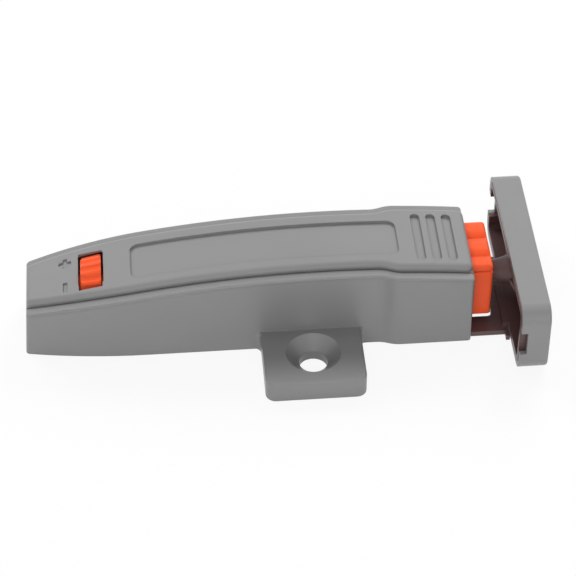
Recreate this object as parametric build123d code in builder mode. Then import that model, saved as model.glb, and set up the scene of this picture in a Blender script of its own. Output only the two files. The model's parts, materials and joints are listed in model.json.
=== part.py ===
from build123d import *
import os
from math import asin, atan2, cos, degrees, hypot, radians, sin, sqrt, tan

os.makedirs("parts", exist_ok=True)

# Frame: origin on the mounting plane, midway between the two screw holes.
# +X points out of the head towards the door, +Z is up, away from the cabinet panel.

# Casing outline, seen from above
tail_x = -44.2
front_x = 25.15
body_half_width = 7.87
tail_arc_radius = 100.0
tail_arc_end_x = -25.5
bulge_start_x = 10.2
bulge_length = 4.0
bulge = 0.81
tail_draft = 4.3
tail_corner = 0.7
front_corner = 0.5

# Casing in side view: the top is one long arc
crown_x = 3.0
crown_z = 15.15
crown_radius = 185.0
seam_drop = 1.5
shoulder_drop = 1.05
shoulder_edge_radius = 0.3
skin = 1.0
wall = 1.2
floor_z = 1.0

# Mounting ears
ear_length_x = 15.5
ear_reach_y = 19.5
ear_thickness = 3.6
ear_corner = 1.6
ear_root_radius = 1.2
screw_spacing = 26.0
screw_hole_radius = 2.22
countersink_radius = 4.25
countersink_angle = 90.0

# Raised top and its recesses
plateau_inset = 1.8
plateau_corner = 1.0
plateau_edge_radius = 0.9
groove_width = 0.24
groove_drop = 1.25
panel_start_x = -27.3
panel_end_x = 14.0
panel_y = -0.15
panel_half_width = 3.85
panel_corner = 1.4
recess_depth = 0.4
slot_first_x = 17.3
slot_pitch = 2.45
slot_width = 1.45
slot_length = 10.55
window_x = -33.5
window_y = -0.28
window_length_x = 3.65
window_half_width = 4.1

# One axis carries the adjusting screw, the spring and the plunger's rod
axis_z = 6.6

# Adjusting wheel and lead screw
wheel_x = -33.45
wheel_rim_length = 3.2
wheel_radius = 5.65
wheel_taper = 10.8
wheel_teeth = 20
flute_radius = 1.0
flute_depth = 0.3
crest_turn = 3.0
wheel_room = 0.35
wheel_gap = 0.25
screw_tail_x = -42.4
screw_tip_x = -17.2
thread_radius = 1.95

# Carriage that the screw moves
carriage_tail_x = -24.5
nose_x = 28.5
carriage_half_width = 5.5
carriage_bottom_z = 2.6
channel_half_width = 3.0
trough_top_z = 10.2
nose_block_x = 20.5
nose_split_z = 11.3
nose_top_z = 12.6
lobe_radius = 5.1
lobe_pitch = 5.0

# Plunger: rod, tray and guide tongue
rod_radius = 1.6
rod_step_x = -2.4
rod_tail_x = -5.5
tongue_z = 1.2
tongue_thickness = 0.8
tongue_half_width = 7.3
tongue_tail_half_width = 5.3
tongue_step_x = 18.5
cam_front_x = 12.0
cam_tail_x = -15.0
cam_top_z = 2.4
track_floor_z = 1.5
stroke_out = 21.0

# Foot of the tongue, lower and wider, in front of the casing
foot_z = 0.15
foot_thickness = 0.9
foot_half_width = 7.95
foot_back_x = 23.8
foot_front_x = 31.2
riser_length = 0.9
foot_travel = 4.8
stop_lug_half_width = 9.2

# Follower pin, a bent wire that rides in the heart-shaped track
pivot_x = 22.0
follower_arm = 14.0
follower_offset = 1.2
wire_radius = 0.4
follower_wire_z = 3.05

# Contact plate
cap_back_x = 31.3
cap_front_x = 35.8
cap_half_length = 16.9
cap_height = 12.4
cap_corner = 2.5
cap_wall = 0.8
cap_face = 1.0
notch_height = 4.3
notch_depth = 1.5


def crown_height(x, drop=0.0):
    return crown_z - drop - crown_radius + sqrt(crown_radius**2 - (x - crown_x) ** 2)


def tail_half_width(x):
    run = tail_arc_end_x - x
    return body_half_width - tail_arc_radius + sqrt(tail_arc_radius**2 - run**2)


def casing_outline(inset=0.0, start_x=tail_x, end_x=front_x):
    """Plan of the casing between two stations, its sides moved in by inset."""
    arc_mid_x = (start_x + tail_arc_end_x) / 2
    side_y = body_half_width - inset
    head_y = side_y + bulge
    bulge_mid_x = bulge_start_x + bulge_length / 2
    bulge_end_x = bulge_start_x + bulge_length
    with BuildSketch() as outline:
        with BuildLine():
            Line((start_x, 0), (start_x, tail_half_width(start_x) - inset))
            ThreePointArc(
                (start_x, tail_half_width(start_x) - inset),
                (arc_mid_x, tail_half_width(arc_mid_x) - inset),
                (tail_arc_end_x, side_y),
            )
            Line((tail_arc_end_x, side_y), (bulge_start_x, side_y))
            TangentArc((bulge_start_x, side_y), (bulge_mid_x, side_y + bulge / 2), tangent=(1, 0))
            TangentArc((bulge_end_x, head_y), (bulge_mid_x, side_y + bulge / 2), tangent=(-1, 0))
            Polyline((bulge_end_x, head_y), (end_x, head_y), (end_x, 0))
            mirror(about=Plane.XZ)
        make_face()
    return outline.sketch


def under_crown(drop, base_drop=None):
    """Block below the crown arc lowered by drop, down to the mounting plane or to a second arc."""
    left, right = tail_x - 2, front_x + 2
    with BuildPart() as block:
        with BuildSketch(Plane.XZ):
            with BuildLine():
                crown_mid = (crown_x, crown_height(crown_x, drop))
                start = (left, crown_height(left, drop))
                end = (right, crown_height(right, drop))
                ThreePointArc(start, crown_mid, end)
                if base_drop is None:
                    Polyline(end, (right, -1), (left, -1), start)
                else:
                    low_start = (left, crown_height(left, base_drop))
                    low_end = (right, crown_height(right, base_drop))
                    Line(end, low_end)
                    ThreePointArc(low_end, (crown_x, crown_height(crown_x, base_drop)), low_start)
                    Line(low_start, start)
            make_face()
        extrude(amount=ear_reach_y + 2, both=True)
    return block.part


def crown_face(block):
    """The long curved face on top, which is the higher of the two largest."""
    return block.faces().sort_by(SortBy.AREA)[-2:].sort_by(Axis.Z)[-1]


# The tail leans in towards the top by the moulding draft
tail_plane = Plane(origin=(tail_x, 0, 0), z_dir=Vector(-1, 0, 0).rotate(Axis.Y, tail_draft))


def casing_block(inset=0.0, tail_round=tail_corner, front_round=front_corner):
    """Casing outline stood up to full height, with the leaning tail and its corners rounded."""
    with BuildPart() as block:
        with BuildSketch():
            add(casing_outline(inset))
        extrude(amount=crown_z + 1)
        split(bisect_by=tail_plane, keep=Keep.BOTTOM)
        for at_tail, radius in ((True, tail_round), (False, front_round)):
            corners = block.edges().filter_by(
                lambda edge: edge.length > crown_z
                and abs(edge.center().Y) > 4
                and (edge.center().X < tail_x + 1 if at_tail else edge.center().X > front_x - 0.1)
            )
            fillet(corners, radius)
    return block.part


def ring(start_x, end_x, outer_radius, inner_radius):
    """Round ring on the common axis between two stations."""
    with BuildPart() as turned:
        with BuildSketch(Plane.YZ.offset(start_x)):
            with Locations((0, axis_z)):
                Circle(outer_radius)
                Circle(inner_radius, mode=Mode.SUBTRACT)
        extrude(amount=end_x - start_x)
    return turned.part


def turned_on_axis(stations):
    """Turned piece on the common axis from (x, radius) stations."""
    with BuildPart() as turned:
        with BuildSketch(Plane.XZ):
            with BuildLine():
                outline = [(x, axis_z + r) for x, r in stations]
                Polyline((stations[0][0], axis_z), *outline, (stations[-1][0], axis_z), close=True)
            make_face()
        revolve(axis=Axis((0, 0, axis_z), (1, 0, 0)))
    return turned.part


# Room around the wheel's tapered rim
half_rim = wheel_rim_length / 2
taper_slope = tan(radians(wheel_taper))
room_half_length = half_rim + wheel_room
wheel_clearance = turned_on_axis(
    [
        (wheel_x - room_half_length, wheel_radius - taper_slope * room_half_length + wheel_gap),
        (wheel_x + room_half_length, wheel_radius + taper_slope * room_half_length + wheel_gap),
    ]
)


# Housing: a trough closed at the tail, with the mouth at the head and an ear on each side
rear_block_x = -40.3
front_wall_start_x = -30.3
front_wall_end_x = -28.9
rear_bush_radius = 1.6
front_bush_radius = 3.0
guide_face_y = 5.6
guide_rib_stations = (-22.0, -5.0, 8.5)
mouth_half_width = 5.65
tongue_slot_half_width = 7.4
tongue_slot_top_z = 2.55
bearing_top_z = 7.85
wheel_slot_half_width = 2.6
hook_stations = (-37.9, -12.0, 4.0, 18.0)
hook_length = 3.0
hook_drop = 2.3

with BuildPart() as ears:
    with BuildSketch() as ear_plan:
        RectangleRounded(ear_length_x, 2 * ear_reach_y, ear_corner)
        Rectangle(ear_length_x + 8, 2 * (body_half_width - 0.1))
        roots = ear_plan.vertices().filter_by(
            lambda corner: abs(abs(corner.X) - ear_length_x / 2) < 0.01
            and abs(abs(corner.Y) - body_half_width + 0.1) < 0.01
        )
        fillet(roots, ear_root_radius)
    extrude(amount=ear_thickness)
    fillet(ears.faces().sort_by(Axis.Z)[-1].edges(), 0.4)

with BuildPart() as housing:
    add(casing_block())
    add(under_crown(seam_drop), mode=Mode.INTERSECT)
    add(ears.part)
    # inside of the trough
    with BuildSketch(Plane.XY.offset(floor_z)):
        add(casing_outline(wall, tail_x + 1.9, front_x - wall))
    extrude(amount=crown_z, mode=Mode.SUBTRACT)
    # bearing block at the tail and bearing wall in front of the wheel
    with BuildSketch(Plane.XY.offset(floor_z - 0.2)):
        with Locations(((tail_x + rear_block_x) / 2, 0)):
            Rectangle(rear_block_x - tail_x, 20)
        with Locations(((front_wall_start_x + front_wall_end_x) / 2, 0)):
            Rectangle(front_wall_end_x - front_wall_start_x, 20)
        add(casing_outline(wall - 0.2, tail_x + 1.7), mode=Mode.INTERSECT)
    extrude(amount=bearing_top_z - floor_z + 0.2)
    for start_x, end_x, radius in (
        (tail_x + 1.75, rear_block_x + 1, rear_bush_radius),
        (front_wall_start_x - 1, front_wall_end_x + 1, front_bush_radius),
    ):
        with BuildSketch(Plane.YZ.offset(start_x)):
            with Locations((0, axis_z)):
                Circle(radius + 0.02)
            with Locations((0, axis_z + crown_z / 2)):
                Rectangle(2 * radius + 0.04, crown_z)
        extrude(amount=end_x - start_x, mode=Mode.SUBTRACT)
    # ribs that guide the carriage
    with BuildSketch(Plane.XY.offset(floor_z - 0.2)):
        for station in guide_rib_stations:
            for side in (-1, 1):
                with Locations((station, side * (guide_face_y + body_half_width - wall + 0.3) / 2)):
                    Rectangle(1.6, body_half_width - wall + 0.3 - guide_face_y)
    extrude(amount=8.4)
    # mouth for the carriage's nose, with a lower slot for the guide tongue
    with BuildSketch(Plane.YZ.offset(front_x - wall - 0.5)):
        with Locations((0, (tongue_slot_top_z + crown_z) / 2)):
            Rectangle(2 * mouth_half_width, crown_z - tongue_slot_top_z)
        with Locations((0, (floor_z + tongue_slot_top_z) / 2)):
            Rectangle(2 * tongue_slot_half_width, tongue_slot_top_z - floor_z)
    extrude(amount=wall + 1, mode=Mode.SUBTRACT)
    # the floor is open under the head, where the foot of the tongue slides in, and under the wheel
    with BuildSketch():
        with Locations(((foot_back_x - foot_travel + front_x + 1) / 2, 0)):
            Rectangle(front_x + 1 - foot_back_x + foot_travel, 2 * foot_half_width + 0.2)
    extrude(amount=foot_z + foot_thickness + 0.1, mode=Mode.SUBTRACT)
    with Locations((wheel_x, 0, 0)):
        Box(2 * room_half_length, 2 * wheel_slot_half_width, 3 * floor_z, mode=Mode.SUBTRACT)
    # countersunk screw holes
    with Locations((0, -screw_spacing / 2, ear_thickness), (0, screw_spacing / 2, ear_thickness)):
        CounterSinkHole(
            radius=screw_hole_radius,
            counter_sink_radius=countersink_radius,
            counter_sink_angle=countersink_angle,
            depth=ear_thickness,
        )
    # pockets that the cover's hooks click into
    for station in hook_stations:
        side_y = (tail_half_width(station) if station < tail_arc_end_x else body_half_width) - wall
        if station > bulge_start_x:
            side_y += bulge
        with Locations((station, 0, crown_height(station, seam_drop) - hook_drop + 0.6)):
            Box(hook_length + 0.4, 2 * (side_y + 0.35), 0.9, mode=Mode.SUBTRACT)

housing.part.label = "housing"
export_step(housing.part, "parts/housing.step")


# Top cover: raised plateau, shoulder, locating lip and hooks
lip_gap = 0.1
lip_thickness = 0.8
lip_depth = 1.9
lip_inset = wall + lip_gap + lip_thickness
roof_inset = plateau_inset + 1.1
lip_breaks = ((tail_x + 0.6, -39.8), (-36.0, -27.3))

with BuildPart() as shoulder:
    add(casing_block())
    add(under_crown(shoulder_drop, seam_drop), mode=Mode.INTERSECT)
    fillet(crown_face(shoulder.part).edges(), shoulder_edge_radius)

with BuildPart() as plateau:
    add(casing_block(plateau_inset, plateau_corner, plateau_corner))
    add(under_crown(0, seam_drop), mode=Mode.INTERSECT)
    fillet(crown_face(plateau.part).edges(), plateau_edge_radius)

with BuildPart() as top_cover:
    add(shoulder.part)
    add(plateau.part)
    with BuildPart(mode=Mode.PRIVATE) as groove:
        with BuildSketch():
            add(casing_outline(plateau_inset - groove_width, tail_x - 1, front_x + 1))
            add(casing_outline(plateau_inset, tail_x - 1, front_x + 1), mode=Mode.SUBTRACT)
        extrude(amount=crown_z + 1)
        add(under_crown(0, groove_drop), mode=Mode.INTERSECT)
    add(groove.part, mode=Mode.SUBTRACT)
    # hollow underside, stepped in under the roof so that the groove has full thickness behind it
    for inset, drop in ((lip_inset, seam_drop - 0.05), (roof_inset, skin)):
        with BuildPart(mode=Mode.PRIVATE) as hollow:
            with BuildSketch():
                add(casing_outline(inset, tail_x + inset + 0.8, front_x - inset - 0.1))
            extrude(amount=crown_z + 1)
            add(under_crown(drop), mode=Mode.INTERSECT)
        add(hollow.part, mode=Mode.SUBTRACT)
    # lip inside the housing's walls
    with BuildPart(mode=Mode.PRIVATE) as lip:
        with BuildSketch():
            add(casing_outline(wall + lip_gap, tail_x + 2.0, front_x - wall - lip_gap))
            add(casing_outline(lip_inset, tail_x + 2.9, front_x - 2.2), mode=Mode.SUBTRACT)
        extrude(amount=crown_z + 1)
        add(under_crown(seam_drop - 0.15, seam_drop + lip_depth), mode=Mode.INTERSECT)
        for start_x, end_x in lip_breaks:
            with Locations(((start_x + end_x) / 2, 0, 0)):
                Box(end_x - start_x, 20, 2 * crown_z, mode=Mode.SUBTRACT)
    add(lip.part)
    # hooks on the lip
    for station in hook_stations:
        side_y = (tail_half_width(station) if station < tail_arc_end_x else body_half_width) - wall
        if station > bulge_start_x:
            side_y += bulge
        hook_z = crown_height(station, seam_drop) - hook_drop + 0.7
        for side in (-1, 1):
            with Locations((station, side * (side_y - 0.1), hook_z)):
                Box(hook_length, 0.5, 0.5)
    # saddles that close the two bearings
    for start_x, end_x, radius in (
        (tail_x + 2.2, rear_block_x - 0.1, rear_bush_radius),
        (front_wall_start_x + 0.1, front_wall_end_x - 0.1, front_bush_radius),
    ):
        top_z = crown_height(start_x, skin) + 0.3
        saddle_z = axis_z + radius + 0.05
        with BuildSketch(Plane.XY.offset(saddle_z)):
            with Locations(((start_x + end_x) / 2, 0)):
                Rectangle(end_x - start_x, 2 * radius - 0.2)
        extrude(amount=top_z - saddle_z)
    # way out for the nose
    with Locations((front_x, 0, crown_height(front_x, skin) - 5)):
        Box(8, 2 * mouth_half_width, 10, mode=Mode.SUBTRACT)
    # room over the bush at the tail and around the wheel, and the window that shows it
    bush_room_radius = rear_bush_radius + 0.05
    bush_room = turned_on_axis([(tail_x + 1.75, bush_room_radius), (rear_block_x + 0.3, bush_room_radius)])
    add(bush_room, mode=Mode.SUBTRACT)
    add(wheel_clearance, mode=Mode.SUBTRACT)
    with BuildSketch():
        with Locations((window_x, window_y)):
            Rectangle(window_length_x, 2 * window_half_width)
    extrude(amount=2 * crown_z, mode=Mode.SUBTRACT)
    # long shallow panel
    with BuildPart(mode=Mode.PRIVATE) as panel:
        with BuildSketch():
            with Locations(((panel_start_x + panel_end_x) / 2, panel_y)):
                RectangleRounded(panel_end_x - panel_start_x, 2 * panel_half_width, panel_corner)
        extrude(amount=crown_z + 1)
        add(under_crown(-1, recess_depth), mode=Mode.INTERSECT)
    add(panel.part, mode=Mode.SUBTRACT)
    # three grip slots near the head
    with BuildPart(mode=Mode.PRIVATE) as slots:
        with BuildSketch():
            with Locations([(slot_first_x + i * slot_pitch, 0) for i in range(3)]):
                SlotOverall(slot_length, slot_width, rotation=90)
        extrude(amount=crown_z + 1)
        add(under_crown(-1, recess_depth + 0.05), mode=Mode.INTERSECT)
    add(slots.part, mode=Mode.SUBTRACT)

top_cover.part.label = "top_cover"
export_step(top_cover.part, "parts/top_cover.step")


# Bushes for the lead screw: a plain one at the tail, a flanged one in front of the wheel
rear_journal_radius = 1.0
front_journal_radius = 2.1
running_gap = 0.05

rear_bush = ring(tail_x + 1.85, rear_block_x + 0.2, rear_bush_radius, rear_journal_radius + running_gap)
rear_bush.label = "rear_bush"
export_step(rear_bush, "parts/rear_bush.step")

front_bush_bore = front_journal_radius + running_gap
flange_end_x = front_wall_end_x + 0.5

with BuildPart() as front_bush:
    add(ring(front_wall_start_x, front_wall_end_x, front_bush_radius, front_bush_bore))
    add(ring(front_wall_end_x, flange_end_x, front_bush_radius + 0.7, front_bush_bore))

front_bush.part.label = "front_bush"
export_step(front_bush.part, "parts/front_bush.step")


# Lead screw with its two journals, the wheel seat and a thrust collar
wheel_seat_radius = 1.6
clip_groove_radius = 1.25
clip_x = -36.5
clip_thickness = 0.5
collar_x = -31.4

with BuildPart() as lead_screw:
    add(
        turned_on_axis(
            [
                (screw_tail_x, rear_journal_radius - 0.2),
                (screw_tail_x + 0.2, rear_journal_radius),
                (rear_block_x + 0.4, rear_journal_radius),
                (rear_block_x + 0.4, wheel_seat_radius),
                (clip_x, wheel_seat_radius),
                (clip_x, clip_groove_radius),
                (clip_x + clip_thickness, clip_groove_radius),
                (clip_x + clip_thickness, wheel_seat_radius),
                (collar_x, wheel_seat_radius),
                (collar_x, 2.8),
                (collar_x + 0.5, 2.8),
                (collar_x + 0.5, front_journal_radius),
                (front_wall_end_x + 0.6, front_journal_radius),
                (front_wall_end_x + 0.6, thread_radius),
                (screw_tip_x - 0.5, thread_radius),
                (screw_tip_x, thread_radius - 0.5),
            ]
        )
    )
lead_screw.part.label = "lead_screw"
export_step(lead_screw.part, "parts/lead_screw.step")


# Adjusting wheel: its fluted rim tapers with the slope of the cover
taper_rise = half_rim * taper_slope

with BuildPart() as adjusting_wheel:
    add(
        turned_on_axis(
            [
                (wheel_x - half_rim - 0.45, 2.9),
                (wheel_x - half_rim, 2.9),
                (wheel_x - half_rim, wheel_radius - taper_rise - 0.25),
                (wheel_x - half_rim + 0.25, wheel_radius - taper_rise),
                (wheel_x + half_rim - 0.25, wheel_radius + taper_rise - 0.05),
                (wheel_x + half_rim, wheel_radius + taper_rise - 0.25),
                (wheel_x + half_rim, 2.9),
                (collar_x - 0.02, 2.9),
            ]
        )
    )
    flute_centre = wheel_radius - flute_depth + flute_radius
    for tooth in range(wheel_teeth):
        turn = 360 * (tooth + 0.5) / wheel_teeth - crest_turn
        outward = Vector(0, 0, 1).rotate(Axis.X, turn)
        along = Vector(cos(radians(wheel_taper)), 0, sin(radians(wheel_taper))).rotate(Axis.X, turn)
        centre = Vector(wheel_x, 0, axis_z) + outward * flute_centre
        with BuildSketch(Plane(origin=centre, z_dir=along)):
            Circle(flute_radius)
        extrude(amount=half_rim + 1, both=True, mode=Mode.SUBTRACT)
    with BuildSketch(Plane.YZ.offset(wheel_x - 4)):
        with Locations((0, axis_z)):
            Circle(wheel_seat_radius)
    extrude(amount=8, mode=Mode.SUBTRACT)
adjusting_wheel.part.label = "adjusting_wheel"
export_step(adjusting_wheel.part, "parts/adjusting_wheel.step")


# Clip that holds the wheel against the collar, and the washer that takes the screw's thrust
def retaining_ring(start_x, thickness, outer_radius, inner_radius, throat):
    """Open ring pressed over a groove from the side."""
    with BuildPart() as clip:
        with BuildSketch(Plane.YZ.offset(start_x)):
            with Locations((0, axis_z)):
                Circle(outer_radius)
                Circle(inner_radius, mode=Mode.SUBTRACT)
            with Locations((0, axis_z - outer_radius)):
                Rectangle(throat, 2 * outer_radius, mode=Mode.SUBTRACT)
        extrude(amount=thickness)
    return clip.part


wheel_clip = retaining_ring(clip_x + 0.05, clip_thickness - 0.1, 2.6, clip_groove_radius, 1.9)
wheel_clip.label = "wheel_clip"
export_step(wheel_clip, "parts/wheel_clip.step")

thrust_washer = ring(collar_x + 0.5, front_wall_start_x, 3.1, front_journal_radius + running_gap)
thrust_washer.label = "thrust_washer"
export_step(thrust_washer, "parts/thrust_washer.step")


# Lead nut, a square nut held in a slot of the carriage
nut_x = -22.0
nut_length = 2.8
nut_half_width = 2.8

with BuildPart() as lead_nut:
    with BuildSketch(Plane.YZ.offset(nut_x - nut_length / 2)):
        with Locations((0, axis_z)):
            Rectangle(2 * nut_half_width, 2 * nut_half_width)
    extrude(amount=nut_length)
    chamfer(lead_nut.edges().filter_by(Axis.X), 0.4)
    with BuildSketch(Plane.YZ.offset(nut_x - nut_length)):
        with Locations((0, axis_z)):
            Circle(thread_radius + running_gap)
    extrude(amount=2 * nut_length, mode=Mode.SUBTRACT)

lead_nut.part.label = "lead_nut"
export_step(lead_nut.part, "parts/lead_nut.step")


# Carriage base: nut slot, spring channel and the lower half of the nose
seat_wall_x = -13.8
spring_seat_x = -12.5
rod_bush_length = 3.5
rod_bush_radius = 2.2
nose_bore_radius = 1.75
nose_countersink_radius = 2.6
nose_countersink_depth = 3.2
pivot_leg_top_z = 4.2
follower_angle = degrees(asin(follower_offset / follower_arm))
channel_floor_z = axis_z - channel_half_width

with BuildPart() as carriage_base:
    with BuildSketch(Plane.XY.offset(carriage_bottom_z)):
        with Locations(((carriage_tail_x + nose_x) / 2, 0)):
            Rectangle(nose_x - carriage_tail_x, 2 * carriage_half_width)
    extrude(amount=trough_top_z - carriage_bottom_z)
    with BuildSketch(Plane.XY.offset(trough_top_z)):
        with Locations(((nose_block_x + nose_x) / 2, 0)):
            Rectangle(nose_x - nose_block_x, 2 * carriage_half_width)
    extrude(amount=nose_split_z - trough_top_z)
    nose_edges = carriage_base.faces().sort_by(Axis.X)[-1].edges().filter_by(Axis.Z)
    fillet(nose_edges, 0.5)
    fillet(carriage_base.faces().sort_by(Axis.Z)[-1].edges(), 0.3)
    # spring channel and the chamber for the screw's tip
    with BuildSketch(Plane.XY.offset(channel_floor_z)):
        with Locations(((spring_seat_x + nose_block_x) / 2, 0)):
            Rectangle(nose_block_x - spring_seat_x, 2 * channel_half_width)
        with Locations(((nut_x + nut_length + seat_wall_x) / 2, 0)):
            Rectangle(seat_wall_x - nut_x - nut_length, 2 * channel_half_width)
    extrude(amount=crown_z, mode=Mode.SUBTRACT)
    # slot for the nut and the hole for the screw
    with BuildSketch(Plane.XY.offset(axis_z - nut_half_width)):
        with Locations((nut_x, 0)):
            Rectangle(nut_length + 0.04, 2 * nut_half_width + 0.04)
    extrude(amount=crown_z, mode=Mode.SUBTRACT)
    with BuildSketch(Plane.YZ.offset(carriage_tail_x - 1)):
        with Locations((0, axis_z)):
            Circle(thread_radius + 0.25)
    extrude(amount=seat_wall_x - carriage_tail_x, mode=Mode.SUBTRACT)
    # bore of the nose, opened out for the flare of the rod, and the bush seat behind it
    with BuildSketch(Plane.YZ.offset(nose_block_x - 1)):
        with Locations((0, axis_z)):
            Circle(nose_bore_radius)
    extrude(amount=nose_x - nose_block_x + 2, mode=Mode.SUBTRACT)
    with BuildSketch(Plane.YZ.offset(nose_block_x)):
        with Locations((0, axis_z)):
            Circle(rod_bush_radius)
    extrude(amount=rod_bush_length, mode=Mode.SUBTRACT)
    with BuildSketch(Plane.YZ.offset(nose_x - nose_countersink_depth)):
        with Locations((0, axis_z)):
            Circle(nose_bore_radius)
    with BuildSketch(Plane.YZ.offset(nose_x)):
        with Locations((0, axis_z)):
            Circle(nose_countersink_radius)
    loft(mode=Mode.SUBTRACT)
    # fan-shaped slot in which the follower pin swings, and the hole for its pivot leg
    with BuildSketch(Plane.XY.offset(carriage_bottom_z)):
        with BuildLine():
            Polyline(
                (pivot_x, -0.6),
                (pivot_x - follower_arm - 0.9, -1.2),
                (pivot_x - follower_arm - 0.9, 2.2),
                (pivot_x, 0.6),
                close=True,
            )
        make_face()
        with Locations((pivot_x, 0)):
            Circle(0.6)
    extrude(amount=channel_floor_z - carriage_bottom_z, mode=Mode.SUBTRACT)
    with BuildSketch(Plane.XY.offset(carriage_bottom_z)):
        with Locations((pivot_x, 0)):
            Circle(wire_radius + 0.05)
    extrude(amount=pivot_leg_top_z + 0.1 - carriage_bottom_z, mode=Mode.SUBTRACT)
    # bosses on the rim that key the lid
    with Locations(
        (-18.5, -4.25, trough_top_z),
        (-18.5, 4.25, trough_top_z),
        (16.0, -4.25, trough_top_z),
        (16.0, 4.25, trough_top_z),
    ):
        Cylinder(0.6, 1.0, align=(Align.CENTER, Align.CENTER, Align.MIN))

carriage_base.part.label = "carriage_base"
export_step(carriage_base.part, "parts/carriage_base.step")


# Carriage lid: flat over the trough, with three rounded lobes on top of the nose
lid_top_z = 11.0
nose_lid_gap = 0.3
lobes_x = 19.0
lobe_front_radius = 0.95
lobe_side_radius = 0.6

lobe_base_z = nose_split_z + nose_lid_gap

with BuildPart() as lobes:
    with BuildSketch(Plane.YZ.offset(lobes_x)):
        with Locations([(i * lobe_pitch, nose_top_z - lobe_radius) for i in (-1, 0, 1)]):
            Circle(lobe_radius)
        with BuildSketch(mode=Mode.PRIVATE) as nose_end:
            with Locations((0, (lobe_base_z + nose_top_z) / 2)):
                Rectangle(2 * carriage_half_width, nose_top_z - lobe_base_z)
            fillet(nose_end.vertices().group_by(Axis.Y)[-1], lobe_side_radius)
        add(nose_end.sketch, mode=Mode.INTERSECT)
    extrude(amount=nose_x - lobes_x)
    with BuildSketch(Plane.XZ) as nose_side:
        with Locations(((lobes_x + nose_x) / 2, (lobe_base_z + nose_top_z) / 2)):
            Rectangle(nose_x - lobes_x, nose_top_z - lobe_base_z)
        fillet(nose_side.vertices().sort_by(lambda corner: corner.X + corner.Z)[-1], lobe_front_radius)
    extrude(amount=carriage_half_width, both=True, mode=Mode.INTERSECT)

with BuildPart() as carriage_lid:
    with BuildSketch(Plane.XY.offset(trough_top_z)):
        with Locations(((carriage_tail_x + nose_block_x) / 2, 0)):
            Rectangle(nose_block_x - carriage_tail_x, 2 * carriage_half_width)
        with Locations((-18.5, -4.25), (-18.5, 4.25), (16.0, -4.25), (16.0, 4.25)):
            Circle(0.65, mode=Mode.SUBTRACT)
    extrude(amount=lid_top_z - trough_top_z)
    with BuildSketch(Plane.XY.offset(trough_top_z + 0.4)):
        with Locations(((lobes_x + nose_block_x) / 2 - 0.03, 0)):
            Rectangle(nose_block_x - lobes_x - 0.06, 2 * carriage_half_width)
    extrude(amount=lobe_base_z - trough_top_z - 0.2)
    add(lobes.part)

carriage_lid.part.label = "carriage_lid"
export_step(carriage_lid.part, "parts/carriage_lid.step")


# Spring seat, rod bush and the rubber ring that ends the stroke
spring_seat_thickness = 0.5
buffer_x = 19.3

spring_seat = ring(spring_seat_x, spring_seat_x + spring_seat_thickness, 2.8, 1.0)
spring_seat.label = "spring_seat"
export_step(spring_seat, "parts/spring_seat.step")

rod_bush = ring(nose_block_x, nose_block_x + rod_bush_length, rod_bush_radius, rod_radius + running_gap)
rod_bush.label = "rod_bush"
export_step(rod_bush, "parts/rod_bush.step")

with BuildPart() as stop_buffer:
    add(ring(buffer_x, nose_block_x, 2.85, rod_radius + 0.15))
    chamfer(stop_buffer.edges().filter_by(GeomType.CIRCLE).group_by(Axis.X)[0], 0.3)

stop_buffer.part.label = "stop_buffer"
export_step(stop_buffer.part, "parts/stop_buffer.step")


# Plunger: the tray behind the contact plate, the rod, and the guide tongue with the heart-shaped track
tray_gap = 0.05
tray_back_x = cap_back_x - 0.05
tray_front_x = cap_front_x - cap_face - tray_gap
tray_half_length = cap_half_length - cap_wall - tray_gap
tray_height = cap_height - 2 * (cap_wall + tray_gap)
tray_wall = 0.9
tray_web = 1.0
flare_radius = 2.2
boss_radius = 3.2
foot_window_back_x = 25.2
foot_window_front_x = 29.0
foot_window_half = 4.5
lane_half_width = wire_radius + 0.2
track_tail_x = pivot_x - follower_arm - stroke_out
track_front_x = pivot_x - follower_arm + 3.2

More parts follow.
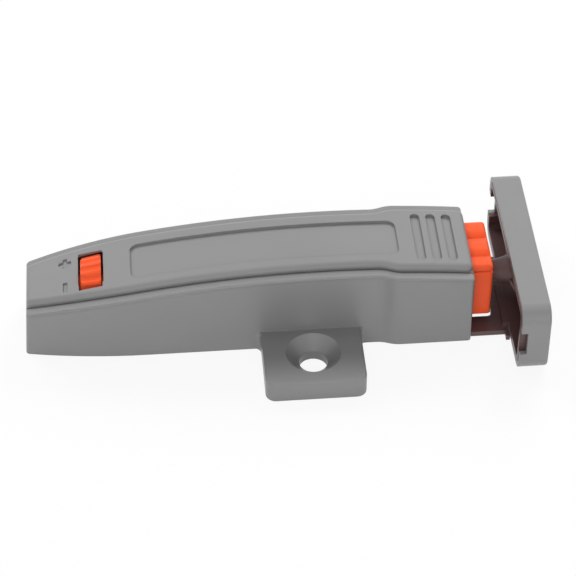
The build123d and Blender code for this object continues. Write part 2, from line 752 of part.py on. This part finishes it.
with BuildPart() as plunger:
    # tray with an upstanding rim
    with BuildSketch(Plane.YZ.offset(tray_back_x)):
        with Locations((0, axis_z)):
            RectangleRounded(2 * tray_half_length, tray_height, cap_corner - cap_wall - tray_gap)
    extrude(amount=tray_front_x - tray_back_x)
    with BuildSketch(Plane.YZ.offset(tray_back_x)):
        with Locations((0, axis_z)):
            RectangleRounded(2 * (tray_half_length - tray_wall), tray_height - 2 * tray_wall, 0.9)
    extrude(amount=tray_front_x - tray_web - tray_back_x, mode=Mode.SUBTRACT)
    # rod with its flare
    with BuildSketch(Plane.XZ):
        with BuildLine():
            Polyline(
                (rod_tail_x, axis_z),
                (rod_tail_x, axis_z + 1.0),
                (rod_tail_x + 0.2, axis_z + 1.2),
                (rod_tail_x + 1.25, axis_z + 1.2),
                (rod_tail_x + 1.25, axis_z + 0.95),
                (rod_tail_x + 1.8, axis_z + 0.95),
                (rod_tail_x + 1.8, axis_z + 1.2),
                (rod_step_x, axis_z + 1.2),
                (rod_step_x, axis_z + rod_radius),
                (nose_x + 0.3, axis_z + rod_radius),
                (cap_back_x, axis_z + flare_radius),
                (tray_front_x - tray_web, axis_z + boss_radius),
                (tray_front_x - 0.5, axis_z + boss_radius),
                (tray_front_x - 0.5, axis_z),
                close=True,
            )
        make_face()
    revolve(axis=Axis((0, 0, axis_z), (1, 0, 0)))
    # gussets between the rod's foot and the tray
    for side in (-1, 1):
        with BuildSketch(Plane.XY.offset(axis_z - 0.4)):
            with BuildLine():
                Polyline(
                    (cap_back_x + 0.3, side * 1.5),
                    (cap_back_x + 0.9, side * 4.6),
                    (tray_front_x - 0.5, side * 5.4),
                    (tray_front_x - 0.5, side * 1.5),
                    close=True,
                )
            make_face()
        extrude(amount=0.8)
    # guide tongue: under the carriage, and where it joins the tray
    with BuildSketch(Plane.XY.offset(tongue_z)):
        for start_x, end_x, half_width in (
            (cam_tail_x, tongue_step_x, tongue_tail_half_width),
            (tongue_step_x, foot_back_x + riser_length, tongue_half_width),
            (foot_front_x - riser_length, tray_front_x - 0.5, tongue_half_width),
        ):
            with Locations(((start_x + end_x) / 2, 0)):
                Rectangle(end_x - start_x, 2 * half_width)
    extrude(amount=tongue_thickness)
    # foot between them, with a window under the nose and a small stop lug on each side
    with BuildSketch(Plane.XY.offset(foot_z)):
        with Locations(((foot_back_x + foot_front_x) / 2, 0)):
            Rectangle(foot_front_x - foot_back_x, 2 * foot_half_width)
        with Locations((foot_front_x - 0.3, 0)):
            Rectangle(0.6, 2 * stop_lug_half_width)
    extrude(amount=foot_thickness)
    with BuildSketch(Plane.XY.offset(foot_z)):
        for riser_x in (foot_back_x + riser_length / 2, foot_front_x - riser_length / 2):
            with Locations((riser_x, 0)):
                Rectangle(riser_length, 2 * tongue_half_width)
    extrude(amount=tongue_z + tongue_thickness - foot_z)
    with BuildSketch(Plane.XY.offset(foot_z)):
        with Locations(((foot_window_back_x + foot_window_front_x) / 2, 0)):
            RectangleRounded(foot_window_front_x - foot_window_back_x, 2 * foot_window_half, 0.8)
    extrude(amount=foot_thickness, mode=Mode.SUBTRACT)
    # lugs that seat in the end notches of the contact plate
    for side in (-1, 1):
        with Locations((tray_back_x + notch_depth / 2, side * (tray_half_length - 0.1), axis_z)):
            Box(1.2, 1.1, 3.4)
    # heart-shaped track
    with BuildSketch(Plane.XY.offset(tongue_z)):
        with Locations(((cam_tail_x + cam_front_x) / 2, 0)):
            Rectangle(cam_front_x - cam_tail_x, 2 * tongue_tail_half_width)
    extrude(amount=cam_top_z - tongue_z)
    with BuildSketch(Plane.XY.offset(track_floor_z)):
        with Locations(((track_front_x + pivot_x - follower_arm) / 2 - 0.2, 0)):
            RectangleRounded(track_front_x - pivot_x + follower_arm + 2.0, 4.2, 0.8)
        for side in (-1, 1):
            lane_start = (pivot_x - follower_arm, side * follower_offset)
            lane_end = (track_tail_x, 0)
            lane_length = hypot(lane_start[0] - lane_end[0], lane_start[1])
            lane_turn = degrees(atan2(lane_start[1], lane_start[0] - lane_end[0]))
            with Locations(((lane_start[0] + lane_end[0]) / 2, lane_start[1] / 2)):
                SlotCenterToCenter(lane_length, 2 * lane_half_width, rotation=lane_turn)
        with Locations((track_tail_x, 0)):
            Circle(0.85)
    extrude(amount=cam_top_z - track_floor_z, mode=Mode.SUBTRACT)

plunger.part.label = "plunger"
export_step(plunger.part, "parts/plunger.step")


# Collar that the ejection spring pushes on, with the clip that keeps it on the rod
spring_collar = ring(rod_step_x - 1.2, rod_step_x, 2.85, 1.2 + 0.02)
spring_collar.label = "spring_collar"
export_step(spring_collar, "parts/spring_collar.step")

rod_clip = retaining_ring(rod_tail_x + 1.3, 0.45, 1.85, 0.95, 1.5)
rod_clip.label = "rod_clip"
export_step(rod_clip, "parts/rod_clip.step")


# Ejection spring, compressed between its seat and the collar
spring_wire_radius = 0.28
spring_radius = 2.35
spring_turns = 6
spring_start_x = spring_seat_x + spring_seat_thickness + spring_wire_radius + 0.02
spring_end_x = rod_step_x - 1.2 - spring_wire_radius - 0.02
spring_pitch = (spring_end_x - spring_start_x) / spring_turns

with BuildPart() as ejection_spring:
    with BuildLine():
        coil = Helix(
            spring_pitch,
            spring_end_x - spring_start_x,
            spring_radius,
            center=(spring_start_x, 0, axis_z),
            direction=(1, 0, 0),
        )
    with BuildSketch(Plane(origin=coil @ 0, z_dir=coil % 0)):
        RegularPolygon(spring_wire_radius, 6)
    sweep(is_frenet=True)

ejection_spring.part.label = "ejection_spring"
export_step(ejection_spring.part, "parts/ejection_spring.step")


# Follower pin
tip_x = pivot_x - follower_arm * cos(radians(follower_angle))
tip_z = track_floor_z + 0.2

with BuildPart() as follower_pin:
    with BuildLine():
        wire = FilletPolyline(
            (tip_x, follower_offset, tip_z),
            (tip_x, follower_offset, follower_wire_z),
            (pivot_x, 0, follower_wire_z),
            (pivot_x, 0, pivot_leg_top_z),
            radius=0.5,
        )
    with BuildSketch(Plane(origin=wire @ 0, z_dir=wire % 0)):
        Circle(wire_radius)
    sweep()

follower_pin.part.label = "follower_pin"
export_step(follower_pin.part, "parts/follower_pin.step")


# Contact plate: a shallow cap clipped over the tray
with BuildPart() as contact_plate:
    with BuildSketch(Plane.YZ.offset(cap_back_x)):
        with Locations((0, axis_z)):
            RectangleRounded(2 * cap_half_length, cap_height, cap_corner)
    extrude(amount=cap_front_x - cap_back_x)
    fillet(contact_plate.faces().sort_by(Axis.X)[-1].edges(), 0.4)
    with BuildSketch(Plane.YZ.offset(cap_back_x)):
        with Locations((0, axis_z)):
            RectangleRounded(
                2 * (cap_half_length - cap_wall),
                cap_height - 2 * cap_wall,
                cap_corner - cap_wall,
            )
    extrude(amount=cap_front_x - cap_face - cap_back_x, mode=Mode.SUBTRACT)
    # end notches for the lugs of the tray
    with Locations((cap_back_x, 0, axis_z)):
        Box(2 * notch_depth, 2 * cap_half_length + 1, notch_height, mode=Mode.SUBTRACT)

contact_plate.part.label = "contact_plate"
export_step(contact_plate.part, "parts/contact_plate.step")
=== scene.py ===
import bpy
import bmesh
import json
from math import asin, cos, pi, radians, sin, sqrt
from mathutils import Matrix, Vector


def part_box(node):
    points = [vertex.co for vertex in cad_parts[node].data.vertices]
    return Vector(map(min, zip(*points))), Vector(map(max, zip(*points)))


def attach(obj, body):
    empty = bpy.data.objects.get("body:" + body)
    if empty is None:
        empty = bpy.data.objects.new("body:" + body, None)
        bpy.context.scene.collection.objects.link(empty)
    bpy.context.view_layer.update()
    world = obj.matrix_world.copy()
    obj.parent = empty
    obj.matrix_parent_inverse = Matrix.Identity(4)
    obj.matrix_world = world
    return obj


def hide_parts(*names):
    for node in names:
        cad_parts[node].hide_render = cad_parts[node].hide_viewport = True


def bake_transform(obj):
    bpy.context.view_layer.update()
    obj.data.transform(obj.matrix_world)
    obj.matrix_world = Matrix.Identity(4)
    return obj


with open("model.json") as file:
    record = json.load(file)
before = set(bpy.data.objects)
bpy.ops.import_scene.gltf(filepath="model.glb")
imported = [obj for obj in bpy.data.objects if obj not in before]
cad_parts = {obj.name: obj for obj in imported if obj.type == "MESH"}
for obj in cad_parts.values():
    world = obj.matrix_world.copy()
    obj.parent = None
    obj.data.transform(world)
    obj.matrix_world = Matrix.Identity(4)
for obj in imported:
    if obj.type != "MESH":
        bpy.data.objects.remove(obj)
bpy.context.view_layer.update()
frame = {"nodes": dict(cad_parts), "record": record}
nodes = frame["nodes"]
mm = 0.001
mergeDistance = 0.0005 * mm
print("frame loaded")


def linked(name, data):
    thing = bpy.data.objects.new(name, data)
    bpy.context.scene.collection.objects.link(thing)
    return thing


def meshFrom(shape, name):
    mesh = bpy.data.meshes.new(name)
    shape.to_mesh(mesh)
    shape.free()
    return mesh


# Camera: high over the near side, a long lens from about 36 cm
camera = {
    "place": (-23.6, -257.6, 246.2),  # mm
    "elevation": 43.0,
    "heading": 4.6,
    "focalPx": 2250.0,
    "imagePx": 576.0,
    "sensor": 36.0,
    "clip": (0.01, 10.0),  # m
}


def makeCamera(c):
    data = bpy.data.cameras.new("camera")
    data.sensor_width = c["sensor"]
    data.lens = c["focalPx"] / c["imagePx"] * c["sensor"]
    data.clip_start, data.clip_end = c["clip"]
    eye = linked("camera", data)
    down = radians(c["elevation"])
    turn = radians(c["heading"])
    look = Vector((sin(turn) * cos(down), cos(turn) * cos(down), -sin(down)))
    right = Vector((cos(turn), -sin(turn), 0))
    up = right.cross(look)
    frameAxes = Matrix((right, up, -look)).transposed()
    eye.matrix_world = Matrix.Translation(Vector(c["place"]) * mm) @ frameAxes.to_4x4()
    bpy.context.scene.camera = eye


# Studio: two soft lamps behind, one above and a fill in front, so that the near ear
# lies in the casing's shade. Places and sizes in m, powers in W.
lamps = {
    "key": {"place": (0.35, 0.6, 0.55), "size": 0.5, "power": 5.3},
    "back": {"place": (-0.45, 0.55, 0.55), "size": 0.5, "power": 4.0},
    "top": {"place": (0.0, 0.05, 0.9), "size": 0.5, "power": 1.6},
    "fill": {"place": (-0.1, -0.9, 0.4), "size": 0.8, "power": 5.4},
}


def makeLamps():
    for name, lamp in lamps.items():
        data = bpy.data.lights.new(name, "AREA")
        data.size = lamp["size"]
        data.energy = lamp["power"]
        lampObject = linked(name, data)
        place = Vector(lamp["place"])
        aim = (-place).to_track_quat("-Z", "Y").to_matrix().to_4x4()
        lampObject.matrix_world = Matrix.Translation(place) @ aim
        lampObject.visible_glossy = False  # gloss mirrors the white room, not the lamps


# World: plain white where the camera, a gloss or a transmission ray meets it, weaker as light
worldLight = 0.03


def seenRays(tree, rays):
    seen = rays.outputs["Is Camera Ray"]
    for ray in ("Is Glossy Ray", "Is Transmission Ray"):
        either = tree.nodes.new("ShaderNodeMath")
        either.operation = "MAXIMUM"
        tree.links.new(seen, either.inputs[0])
        tree.links.new(rays.outputs[ray], either.inputs[1])
        seen = either.outputs[0]
    return seen


def makeWorld():
    world = bpy.data.worlds.new("studio")
    bpy.context.scene.world = world
    world.use_nodes = True
    tree = world.node_tree
    background = tree.nodes["Background"]
    background.inputs["Color"].default_value = (1, 1, 1, 1)
    rays = tree.nodes.new("ShaderNodeLightPath")
    level = tree.nodes.new("ShaderNodeMapRange")
    level.inputs["To Min"].default_value = worldLight
    level.inputs["To Max"].default_value = 1.0
    tree.links.new(seenRays(tree, rays), level.inputs["Value"])
    tree.links.new(level.outputs["Result"], background.inputs["Strength"])


makeCamera(camera)
makeLamps()
makeWorld()
bpy.context.scene.view_settings.view_transform = "Standard"
print("camera and lights made")


# Finishes. Colours are linear, grain sizes in m, softened edges in mm.
finishes = {
    "mouldedGrey": {
        "colour": (0.232, 0.23, 0.232),
        "rough": 0.38,
        "grain": 0.00018,
        "bump": 0.08,
        "edge": 0.22,
        "gloss": 0.85,
    },
    "mouldedOrange": {
        "colour": (0.97, 0.108, 0.027),
        "rough": 0.36,
        "grain": 0.0004,
        "bump": 0.05,
        "gloss": 0.3,
    },
    "mouldedDark": {"colour": (0.105, 0.06, 0.058), "rough": 0.38, "grain": 0.0004, "bump": 0.05},
    "bearingWhite": {"colour": (0.75, 0.74, 0.7), "rough": 0.4, "grain": 0.0004, "bump": 0.04},
    "rubberBlack": {"colour": (0.02, 0.02, 0.02), "rough": 0.75, "grain": 0.0003, "bump": 0.1},
    "platedSteel": {
        "colour": (0.6, 0.6, 0.61),
        "rough": 0.28,
        "grain": 0.00015,
        "bump": 0.05,
        "metal": 1.0,
    },
    "turnedBrass": {
        "colour": (0.72, 0.5, 0.2),
        "rough": 0.3,
        "grain": 0.00015,
        "bump": 0.05,
        "metal": 1.0,
    },
}
# What a finish has unless it says otherwise
finishDefaults = {
    "metal": 0.0,
    "gloss": 0.5,
    "edge": 0.12,
    "edgeSamples": 4,
    "grainDetail": 3,
    "cloudScale": 90,
    "tintSpread": 0.05,
    "roughSpread": 0.06,
    "bumpDepth": 0.00002,  # m
}


def makeFinish(name, own):
    f = {**finishDefaults, **own}
    material = bpy.data.materials.new(name)
    material.use_nodes = True
    tree = material.node_tree
    shader = tree.nodes["Principled BSDF"]
    shader.inputs["Metallic"].default_value = f["metal"]
    shader.inputs["Specular IOR Level"].default_value = f["gloss"]
    place = tree.nodes.new("ShaderNodeTexCoord")
    grain = tree.nodes.new("ShaderNodeTexNoise")
    grain.inputs["Scale"].default_value = 1 / f["grain"]
    grain.inputs["Detail"].default_value = f["grainDetail"]
    tree.links.new(place.outputs["Object"], grain.inputs["Vector"])
    cloud = tree.nodes.new("ShaderNodeTexNoise")
    cloud.inputs["Scale"].default_value = f["cloudScale"]
    tree.links.new(place.outputs["Object"], cloud.inputs["Vector"])
    tint = tree.nodes.new("ShaderNodeMix")
    tint.data_type = "RGBA"
    darker, lighter = 1 - f["tintSpread"], 1 + f["tintSpread"]
    tint.inputs["A"].default_value = tuple(c * darker for c in f["colour"]) + (1,)
    tint.inputs["B"].default_value = tuple(min(c * lighter, 1) for c in f["colour"]) + (1,)
    tree.links.new(cloud.outputs["Fac"], tint.inputs["Factor"])
    tree.links.new(tint.outputs["Result"], shader.inputs["Base Color"])
    roughness = tree.nodes.new("ShaderNodeMapRange")
    roughness.inputs["To Min"].default_value = f["rough"] - f["roughSpread"]
    roughness.inputs["To Max"].default_value = f["rough"] + f["roughSpread"]
    tree.links.new(grain.outputs["Fac"], roughness.inputs["Value"])
    tree.links.new(roughness.outputs["Result"], shader.inputs["Roughness"])
    softEdge = tree.nodes.new("ShaderNodeBevel")
    softEdge.samples = f["edgeSamples"]
    softEdge.inputs["Radius"].default_value = f["edge"] * mm
    bump = tree.nodes.new("ShaderNodeBump")
    bump.inputs["Strength"].default_value = f["bump"]
    bump.inputs["Distance"].default_value = f["bumpDepth"]
    tree.links.new(grain.outputs["Fac"], bump.inputs["Height"])
    tree.links.new(softEdge.outputs["Normal"], bump.inputs["Normal"])
    tree.links.new(bump.outputs["Normal"], shader.inputs["Normal"])
    return material


materials = {name: makeFinish(name, own) for name, own in finishes.items()}
finishOfSlot = {
    "casing": "mouldedGrey",
    "orange": "mouldedOrange",
    "dark_plastic": "mouldedDark",
    "bush": "bearingWhite",
    "steel": "platedSteel",
    "brass": "turnedBrass",
    "rubber": "rubberBlack",
}
slotOfNode = {row["node"]: row["material_slot"] for row in frame["record"]["subparts"]}


def dress(piece, slotName):
    piece.data.materials.clear()
    piece.data.materials.append(materials[finishOfSlot[slotName]])


for node, piece in nodes.items():
    dress(piece, slotOfNode[node])
print("finishes on", len(nodes), "pieces")


def addPiece(name, mesh, body, slotName, *replaced):
    piece = linked(name, mesh)
    dress(piece, slotName)
    if body:
        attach(piece, body)
    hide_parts(*replaced)
    return piece


def mergedCopy(node):
    mesh = nodes[node].data.copy()
    for layer in ("custom_normal", "sharp_edge", "sharp_face"):
        if layer in mesh.attributes:
            mesh.attributes.remove(mesh.attributes[layer])
    shape = bmesh.new()
    shape.from_mesh(mesh)
    bmesh.ops.remove_doubles(shape, verts=shape.verts, dist=mergeDistance)
    shape.to_mesh(mesh)
    shape.free()
    return mesh


def applyModifiers(piece):
    evaluated = piece.evaluated_get(bpy.context.evaluated_depsgraph_get())
    made = bpy.data.meshes.new_from_object(evaluated)
    piece.modifiers.clear()
    piece.data = made


def shadeSmooth(piece, sharpAngle):
    mesh = piece.data
    mesh.polygons.foreach_set("use_smooth", [True] * len(mesh.polygons))
    mesh.set_sharp_from_angle(angle=radians(sharpAngle))
    even = piece.modifiers.new("evenNormals", "WEIGHTED_NORMAL")
    even.mode = "FACE_AREA"
    even.keep_sharp = True
    applyModifiers(piece)


def carve(piece, cutters, operation="DIFFERENCE"):
    for cutter in cutters:
        cut = piece.modifiers.new("cut", "BOOLEAN")
        cut.operation = operation
        cut.solver = "EXACT"
        cut.object = cutter
    applyModifiers(piece)
    for cutter in cutters:
        bpy.data.objects.remove(cutter)


def boxCutter(low, high):
    shape = bmesh.new()
    middle = [(a + b) / 2 * mm for a, b in zip(low, high)]
    spans = [(b - a) * mm for a, b in zip(low, high)]
    place = Matrix.Translation(middle) @ Matrix.Diagonal((*spans, 1))
    bmesh.ops.create_cube(shape, size=1, matrix=place)
    return linked("boxCutter", meshFrom(shape, "boxCutter"))


# Plus and minus signs, sunk into the cover beside the wheel's window. The crown is the
# cover's arched top. Lengths in mm and angles in degrees, here and below.
signs = {
    "x": -37.45,
    "plusY": 2.4,
    "minusY": -3.0,
    "halfLength": 1.0,
    "halfStroke": 0.34,
    "depth": 0.25,
    "crownX": 3.0,
    "crownZ": 15.15,
    "crownRadius": 185.0,
    "sharpAngle": 25,
}


def signCutter(outline, y, s):
    run = s["x"] - s["crownX"]
    surface = s["crownZ"] - s["crownRadius"] + sqrt(s["crownRadius"] ** 2 - run**2)
    slope = asin(run / s["crownRadius"])
    place = Matrix.Translation(Vector((s["x"], y, surface)) * mm) @ Matrix.Rotation(slope, 4, "Y")
    shape = bmesh.new()
    foot = [shape.verts.new(place @ (Vector((px, py, -s["depth"])) * mm)) for px, py in outline]
    floorFace = shape.faces.new(foot)
    grown = bmesh.ops.extrude_face_region(shape, geom=[floorFace])
    raised = [v for v in grown["geom"] if isinstance(v, bmesh.types.BMVert)]
    lift = place.to_3x3() @ (Vector((0, 0, 2 * s["depth"])) * mm)
    bmesh.ops.translate(shape, verts=raised, vec=lift)
    bmesh.ops.recalc_face_normals(shape, faces=shape.faces)
    return linked("signCutter", meshFrom(shape, "signCutter"))


def makeCover(s):
    longHalf, half = s["halfLength"], s["halfStroke"]
    arm = [Vector((longHalf, -half)), Vector((longHalf, half)), Vector((half, half))]
    plus = [Matrix.Rotation(quarter * pi / 2, 2) @ point for quarter in range(4) for point in arm]
    minus = [(-half, -longHalf), (half, -longHalf), (half, longHalf), (-half, longHalf)]
    cover = addPiece("markedCover", mergedCopy("top_cover"), "casing", "casing", "top_cover")
    carve(cover, [signCutter(plus, s["plusY"], s), signCutter(minus, s["minusY"], s)])
    shadeSmooth(cover, s["sharpAngle"])
    print("cover faces", len(cover.data.polygons))


makeCover(signs)
print("signs cut")


# Carriage lid: its three lobes lean towards the near side and round down at the front.
# The block stands inside the nose's split and keeps light from passing through it.
lobes = {
    "backX": 19.0,
    "frontX": 28.5,
    "half": 5.5,
    "baseZ": 11.7,
    "crestZ": 12.6,
    "valleys": (-6.9, -2.69, 1.52, 5.73),
    "crestFromValley": 1.45,
    "nearDrop": 0.6,
    "farDrop": 0.45,
    "frontRadius": 1.05,
    "sideRadius": 0.6,
    "cornerRadius": 0.7,
    "frontWall": 0.25,
    "rootOverlap": 0.05,
    "rowsAlong": 24,
    "rowsAcross": 96,
    "blockInset": 0.55,
    "blockBackX": 20.4,
    "blockLowZ": 11.25,
    "blockHighZ": 11.8,
    "sharpAngle": 35,
}


def lobeHeight(y, n):
    near, far = next((a, b) for a, b in zip(n["valleys"], n["valleys"][1:]) if y <= b)
    run = y - near - n["crestFromValley"]
    if run < 0:
        return n["crestZ"] - n["nearDrop"] * (run / n["crestFromValley"]) ** 2
    return n["crestZ"] - n["farDrop"] * (run / (far - near - n["crestFromValley"])) ** 2


def quarterRound(gap, radius):
    return sqrt(max(0, 1 - max(0, 1 - gap / radius) ** 2))


def makeNoseLid(n):
    mesh = mergedCopy("carriage_lid")
    shape = bmesh.new()
    shape.from_mesh(mesh)
    allParts = shape.verts[:] + shape.edges[:] + shape.faces[:]
    cutPoint = Vector((0, 0, n["baseZ"] + n["rootOverlap"])) * mm
    cut = bmesh.ops.bisect_plane(
        shape, geom=allParts, plane_co=cutPoint, plane_no=(0, 0, 1), clear_outer=True
    )
    openEdges = [e for e in cut["geom_cut"] if isinstance(e, bmesh.types.BMEdge)]
    bmesh.ops.holes_fill(shape, edges=openEdges)
    grid = bmesh.ops.create_grid(
        shape, x_segments=n["rowsAlong"], y_segments=n["rowsAcross"], size=1
    )
    low = n["baseZ"] + n["frontWall"]
    for v in grid["verts"]:
        # rows gather towards the front and the sides, where the edges are rounded
        y = n["half"] * sin(v.co.y * pi / 2)
        side = n["half"] - abs(y)
        gap = (n["frontX"] - n["backX"]) * (1 - sin((v.co.x + 1) * pi / 4))
        corner = n["cornerRadius"] * (1 - quarterRound(side, n["cornerRadius"]))
        x = max(n["frontX"] - max(gap, corner), n["backX"])
        share = quarterRound(gap, n["frontRadius"]) * quarterRound(side, n["sideRadius"])
        v.co = Vector((x, y, low + (lobeHeight(y, n) - low) * share)) * mm
    topFaces = {face for v in grid["verts"] for face in v.link_faces}
    walls = bmesh.ops.extrude_face_region(shape, geom=list(topFaces), use_keep_orig=True)
    for part in walls["geom"]:
        if isinstance(part, bmesh.types.BMVert):
            part.co.z = n["baseZ"] * mm
    inset = n["blockInset"]
    low = Vector((n["blockBackX"], inset - n["half"], n["blockLowZ"]))
    high = Vector((n["frontX"] - inset, n["half"] - inset, n["blockHighZ"]))
    spans = (high - low) * mm
    place = Matrix.Translation((low + high) / 2 * mm) @ Matrix.Diagonal((*spans, 1))
    bmesh.ops.create_cube(shape, size=1, matrix=place)
    bmesh.ops.recalc_face_normals(shape, faces=shape.faces)
    shape.to_mesh(mesh)
    shape.free()
    lid = addPiece("roundedLid", mesh, "carriage", "orange", "carriage_lid")
    shadeSmooth(lid, n["sharpAngle"])


makeNoseLid(lobes)
print("nose lid made")


# Tray and plate: the far notch is open right through, the near one is a shallow dark recess
trayNotch = {
    "backX": 31.0,
    "frontX": 32.75,
    "farY": 14.9,
    "nearY": 15.65,
    "outerY": 17.5,
    "lowZ": 4.45,
    "highZ": 8.75,
    "plateFillX": 32.3,
    "plateWall": 0.8,
    "plateMargin": 0.5,
    "sharpAngle": 30,
}


def makeTray(n):
    tray = addPiece("notchedPlunger", mergedCopy("plunger"), "slider", "dark_plastic", "plunger")
    far = boxCutter((n["backX"], n["farY"], n["lowZ"]), (n["frontX"], n["outerY"], n["highZ"]))
    near = boxCutter((n["backX"], -n["outerY"], n["lowZ"]), (n["frontX"], -n["nearY"], n["highZ"]))
    carve(tray, [far, near])
    shadeSmooth(tray, n["sharpAngle"])
    print("tray faces", len(tray.data.polygons))


def makePlate(n):
    mesh = mergedCopy("contact_plate")
    plate = addPiece("narrowNotchPlate", mesh, "slider", "casing", "contact_plate")
    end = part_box("contact_plate")[1][1] / mm
    margin = n["plateMargin"]
    front, bottom, top = n["frontX"] + margin, n["lowZ"] - margin, n["highZ"] + margin
    fills = []
    for low, high in ((-end, n["plateWall"] - end), (end - n["plateWall"], end)):
        fills.append(boxCutter((n["plateFillX"], low, bottom), (front, high, top)))
    carve(plate, fills, "UNION")
    shadeSmooth(plate, n["sharpAngle"])
    print("plate faces", len(plate.data.polygons))


makeTray(trayNotch)
makePlate(trayNotch)


# Ejection spring in round wire, its end coils close and the rest open
spring = {
    "wireRadius": 0.28,
    "radius": 2.35,
    "axisZ": 6.6,
    "turns": 7.0,
    "endTurns": 0.9,
    "closePitch": 2.1,  # of the wire's radius
    "endGap": 0.02,
    "wireSides": 12,
    "stepsPerTurn": 32,
    "sharpAngle": 40,
}


def makeSpring(s):
    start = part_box("spring_seat")[1][0] / mm + s["wireRadius"] + s["endGap"]
    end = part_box("spring_collar")[0][0] / mm - s["wireRadius"] - s["endGap"]
    closeRise = s["endTurns"] * s["closePitch"] * s["wireRadius"]
    openTurns = s["turns"] - 2 * s["endTurns"]
    shape = bmesh.new()
    wire = bmesh.ops.create_circle(
        shape, segments=s["wireSides"], radius=s["wireRadius"] * mm
    )
    upright = Matrix.Rotation(pi / 2, 4, "X")
    bmesh.ops.transform(shape, verts=wire["verts"], matrix=upright)
    shift = Vector((start, 0, s["axisZ"] + s["radius"])) * mm
    bmesh.ops.translate(shape, verts=wire["verts"], vec=shift)
    section = shape.edges[:]
    stretches = (
        (s["endTurns"], closeRise),
        (openTurns, end - start - 2 * closeRise),
        (s["endTurns"], closeRise),
    )
    for turns, rise in stretches:
        steps = int(turns * s["stepsPerTurn"])
        spun = bmesh.ops.spin(
            shape,
            geom=section,
            cent=(0, 0, s["axisZ"] * mm),
            axis=(1, 0, 0),
            dvec=(rise / steps * mm, 0, 0),
            angle=2 * pi * turns,
            steps=steps,
        )
        section = [part for part in spun["geom_last"] if isinstance(part, bmesh.types.BMEdge)]
    bmesh.ops.remove_doubles(shape, verts=shape.verts, dist=mergeDistance)
    bmesh.ops.holes_fill(shape, edges=[e for e in shape.edges if e.is_boundary])
    bmesh.ops.recalc_face_normals(shape, faces=shape.faces)
    mesh = meshFrom(shape, "roundSpring")
    coil = addPiece("roundSpring", mesh, None, "steel", "ejection_spring")
    shadeSmooth(coil, s["sharpAngle"])
    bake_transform(coil)


makeSpring(spring)
print("spring made")


# Floor: seen as nearly plain white, but it keeps the soft shadow
floor = {
    "size": 6.0,  # m
    "drop": 0.02,
    "whiteShare": 0.9,
    "colour": (0.95, 0.95, 0.95),
    "rough": 0.9,
}


def makeFloor(f):
    shape = bmesh.new()
    bmesh.ops.create_grid(shape, x_segments=1, y_segments=1, size=f["size"] / 2)
    plane = linked("floor", meshFrom(shape, "floor"))
    plane.location = (0, 0, -f["drop"] * mm)
    material = bpy.data.materials.new("floorWhite")
    material.use_nodes = True
    tree = material.node_tree
    shader = tree.nodes["Principled BSDF"]
    shader.inputs["Base Color"].default_value = (*f["colour"], 1)
    shader.inputs["Roughness"].default_value = f["rough"]
    white = tree.nodes.new("ShaderNodeEmission")
    rays = tree.nodes.new("ShaderNodeLightPath")
    share = tree.nodes.new("ShaderNodeMath")
    share.operation = "MULTIPLY"
    share.inputs[1].default_value = f["whiteShare"]
    tree.links.new(seenRays(tree, rays), share.inputs[0])
    blend = tree.nodes.new("ShaderNodeMixShader")
    tree.links.new(share.outputs[0], blend.inputs["Fac"])
    tree.links.new(shader.outputs[0], blend.inputs[1])
    tree.links.new(white.outputs[0], blend.inputs[2])
    tree.links.new(blend.outputs[0], tree.nodes["Material Output"].inputs["Surface"])
    plane.data.materials.append(material)


makeFloor(floor)
print("floor made")
